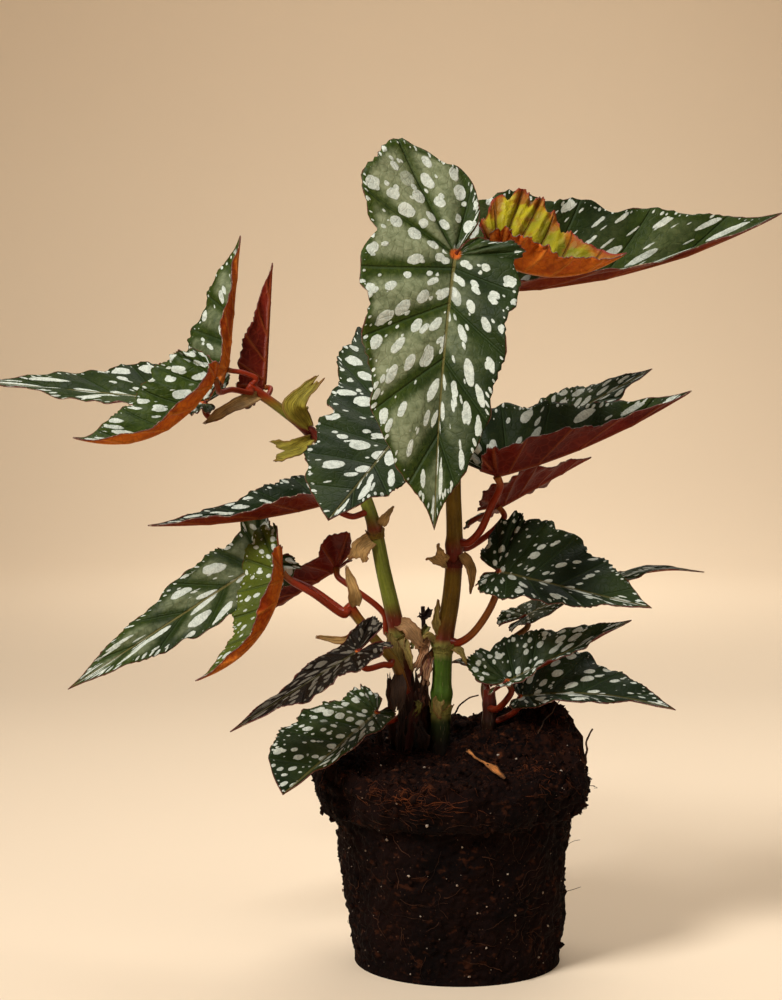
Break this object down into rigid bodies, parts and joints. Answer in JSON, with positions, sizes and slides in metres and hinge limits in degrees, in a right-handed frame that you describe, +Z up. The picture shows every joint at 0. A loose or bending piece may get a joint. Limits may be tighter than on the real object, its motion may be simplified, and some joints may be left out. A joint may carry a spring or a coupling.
{
  "type": "polka dot begonia plant with bare root ball",
  "caption": "Polka dot begonia: spotted wing-shaped leaves on cane stems, standing on a bare root ball of dark peat that kept its nursery pot's shape.",
  "frame": {"origin": "centre of the root ball's flat underside", "axes": "+Z up out of the root ball, +Y from the pictured side toward the back, +X to the right as pictured"},
  "size_m": [0.3592, 0.153, 0.3521],
  "materials": {
    "peat": "crumbly moist peat",
    "leaf": "semi-gloss, silver-white spots, deep red underside",
    "young_leaf": "semi-gloss, pleated, orange-red underside",
    "leaf_stalk": "satin",
    "cane": "satin",
    "stipule": "papery matt",
    "dry_scrap": "dry matt"
  },
  "bodies": {
    "root": {"root_ball": "peat", "leaf_front": "leaf", "leaf_top_right": "leaf", "leaf_young": "young_leaf", "leaf_mid_left": "leaf", "leaf_left_far": "leaf", "leaf_left_up": "leaf", "leaf_left_down": "leaf", "leaf_left_red": "leaf", "leaf_left_pointer": "leaf", "leaf_left_low": "leaf", "leaf_left_green": "leaf", "leaf_left_dark": "leaf", "leaf_low_dark": "leaf", "leaf_low_green": "leaf", "leaf_right_mid": "leaf", "leaf_right_back": "leaf", "leaf_right_under": "leaf", "leaf_right_face": "leaf", "leaf_right_curl": "leaf", "leaf_right_low": "leaf", "leaf_right_base": "leaf", "leaf_small_dark": "leaf", "stalk_front": "leaf_stalk", "stalk_top_right": "leaf_stalk", "stalk_young": "leaf_stalk", "stalk_mid_left": "leaf_stalk", "stalk_left_far": "leaf_stalk", "stalk_left_up": "leaf_stalk", "stalk_left_down": "leaf_stalk", "stalk_left_red": "leaf_stalk", "stalk_left_pointer": "leaf_stalk", "stalk_left_low": "leaf_stalk", "stalk_left_green": "leaf_stalk", "stalk_left_dark": "leaf_stalk", "stalk_low_dark": "leaf_stalk", "stalk_low_green": "leaf_stalk", "stalk_right_mid": "leaf_stalk", "stalk_right_back": "leaf_stalk", "stalk_right_under": "leaf_stalk", "stalk_right_face": "leaf_stalk", "basal_shoot": "leaf_stalk", "cane_right": "cane", "cane_left": "cane", "shoot_low_left": "cane", "stipule_high_upper": "stipule", "stipule_high_lower": "stipule", "stipule_low_upper": "stipule", "stipule_low_under": "stipule", "stipule_right_short": "stipule", "stipule_right_long": "stipule", "stipule_left_short": "stipule", "stipule_left_point": "stipule", "stipule_end_curl": "stipule", "dry_stalk": "dry_scrap", "dry_leaf": "dry_scrap", "dry_flake": "dry_scrap"}
  },
  "joints": []
}
